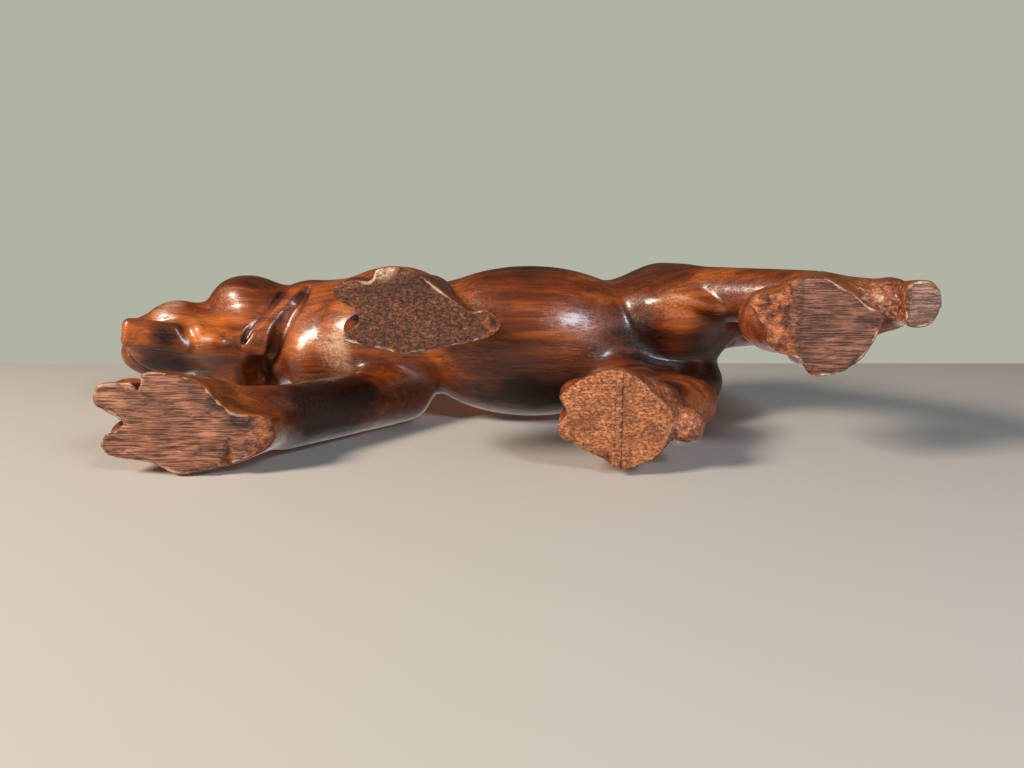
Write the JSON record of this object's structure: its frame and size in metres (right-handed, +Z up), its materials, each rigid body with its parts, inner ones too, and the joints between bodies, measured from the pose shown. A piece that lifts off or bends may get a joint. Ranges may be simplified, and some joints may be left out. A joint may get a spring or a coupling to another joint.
{
  "type": "carved wooden tiger figurine",
  "caption": "Solid carved hardwood tiger in a stalking walk, head low, tail down to the ground, standing on flat sawn soles.",
  "frame": {"origin": "middle of the box around the figure, on the ground under the soles", "axes": "+Z up, head towards -X, tail towards +X, the tiger's right side towards +Y"},
  "size_m": [0.1742, 0.0392, 0.0753],
  "materials": {
    "wood": "glossy varnish on dark reddish-brown hardwood, soles bare and rough from the saw"
  },
  "bodies": {
    "root": {"tiger": "wood"}
  },
  "joints": []
}
